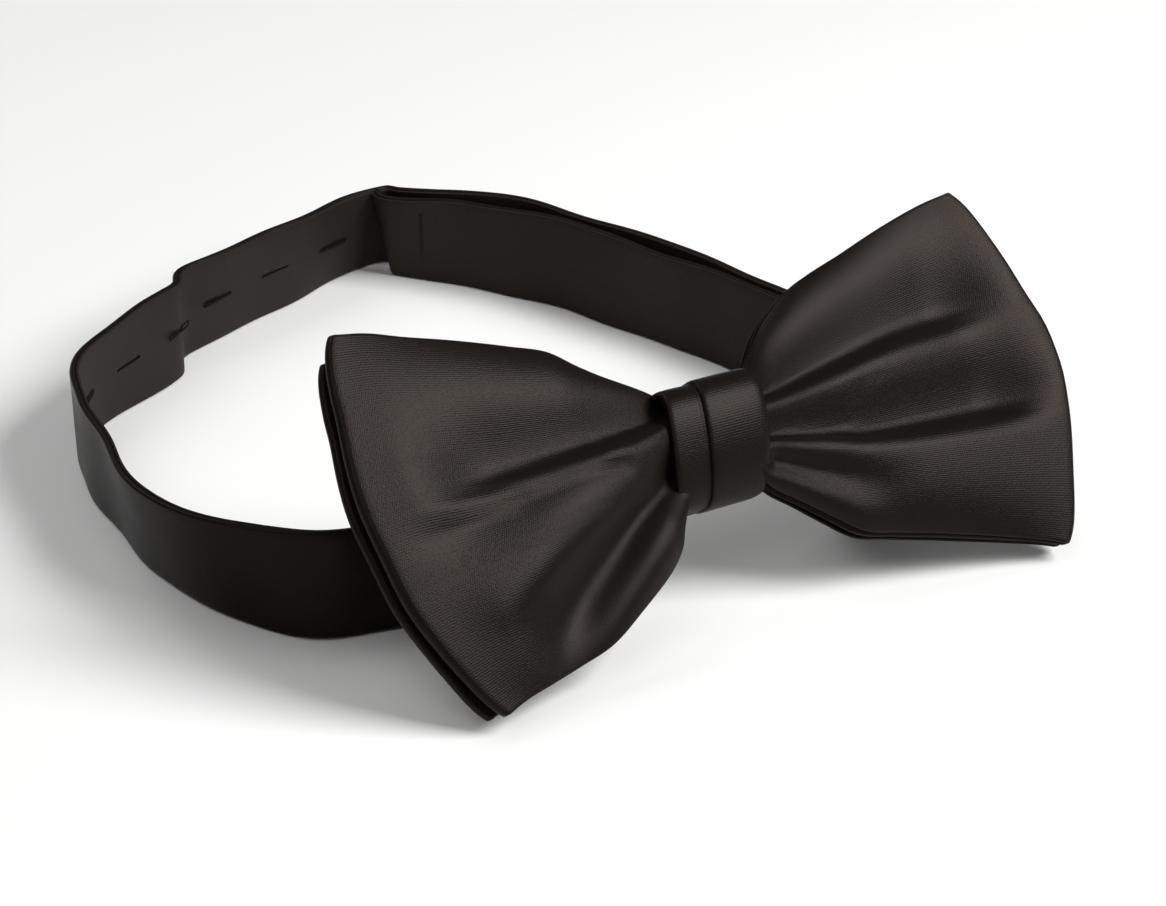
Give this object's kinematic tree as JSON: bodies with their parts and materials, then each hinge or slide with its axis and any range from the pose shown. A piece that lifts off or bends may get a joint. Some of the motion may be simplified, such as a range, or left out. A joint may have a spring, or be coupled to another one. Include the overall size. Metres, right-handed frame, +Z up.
{
  "type": "bow tie",
  "caption": "Ready-tied black satin bow tie: two flattened pleated loops pinched by a knot, on an adjustable neckband with stitched slots, a loose tail and a wire hook.",
  "frame": {"origin": "middle of the whole tie's bounding box, at the height of the table it lies on", "axes": "+X along the bow to its right-hand wing, +Y from the bow to the back of the neckband, +Z up from the table"},
  "size_m": [0.1402, 0.1548, 0.0497],
  "materials": {
    "black_satin": "black satin weave, soft sheen",
    "twill_lining": "dull black twill",
    "interlining": "stiff unbleached interlining",
    "thread": "black sewing thread",
    "nickel_wire": "nickel-plated wire"
  },
  "bodies": {
    "bow_and_band": {"front_bow_satin": "black_satin", "front_bow_interlining": "interlining", "rear_bow_satin": "black_satin", "rear_bow_interlining": "interlining", "waist_binding": "thread", "knot_interlining": "interlining", "knot_wrap": "black_satin", "knot_seam_stitching": "thread", "neckband_face": "black_satin", "neckband_stiffener": "interlining", "neckband_lining": "twill_lining", "slot_stitching_1": "thread", "slot_stitching_2": "thread", "slot_stitching_3": "thread", "slot_stitching_4": "thread", "slot_stitching_5": "thread", "slot_stitching_6": "thread"},
    "tail": {"tail_face": "black_satin", "tail_stiffener": "interlining", "tail_lining": "twill_lining", "slot_stitching_7": "thread", "slot_stitching_8": "thread", "slot_stitching_9": "thread", "slot_stitching_10": "thread", "slot_stitching_11": "thread", "tail_end_tack": "thread"},
    "right_strap": {"right_strap_face": "black_satin", "right_strap_stiffener": "interlining", "right_strap_lining": "twill_lining", "hook_tab": "black_satin", "right_end_tack": "thread"},
    "hook": {"strap_hook": "nickel_wire"}
  },
  "joints": [
    {"name": "right_strap_swing", "type": "hinge", "parent": "bow_and_band", "child": "right_strap", "pos_m": [0.05997, -0.01363, 0.00875], "axis": [0, 0, 1], "range_deg": [0, 35]},
    {"name": "tail_swing", "type": "hinge", "parent": "bow_and_band", "child": "tail", "pos_m": [0.02497, 0.07637, 0.00875], "axis": [0, 0, 1], "range_deg": [0, 40]},
    {"name": "hook_rock", "type": "hinge", "parent": "right_strap", "child": "hook", "pos_m": [0.03275, 0.06516, 0.00875], "axis": [0, 0, 1], "range_deg": [-5, 5]}
  ]
}
